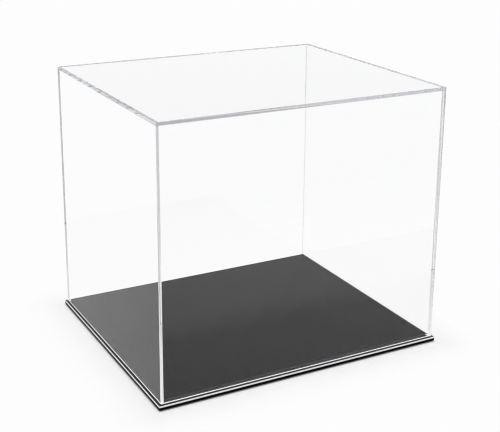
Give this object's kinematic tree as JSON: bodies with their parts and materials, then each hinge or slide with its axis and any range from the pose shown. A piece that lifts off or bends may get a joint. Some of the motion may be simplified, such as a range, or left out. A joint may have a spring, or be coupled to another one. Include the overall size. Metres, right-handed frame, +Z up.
{
  "type": "display case",
  "caption": "Clear box-shaped cover that lifts straight up off a thin layered black base, to show and protect an item standing inside.",
  "frame": {"origin": "centre of the footprint, on the surface that the feet stand on", "axes": "+Z up; +X along the width, to the right of someone who faces the front; the front wall faces -Y"},
  "size_m": [0.352, 0.299, 0.306],
  "materials": {
    "clear_acrylic": "polished",
    "black_acrylic": "polished",
    "foot_rubber": "matte"
  },
  "bodies": {
    "base": {"foot_front_left": "foot_rubber", "foot_front_right": "foot_rubber", "foot_back_left": "foot_rubber", "foot_back_right": "foot_rubber", "base_plate": "black_acrylic", "base_sheet": "clear_acrylic", "deck": "black_acrylic"},
    "cover": {"front_panel": "clear_acrylic", "back_panel": "clear_acrylic", "left_panel": "clear_acrylic", "right_panel": "clear_acrylic", "top_panel": "clear_acrylic"}
  },
  "joints": [
    {"name": "cover_lift", "type": "slide", "parent": "base", "child": "cover", "axis": [0, 0, 1], "range_m": [0, 0.32]}
  ]
}
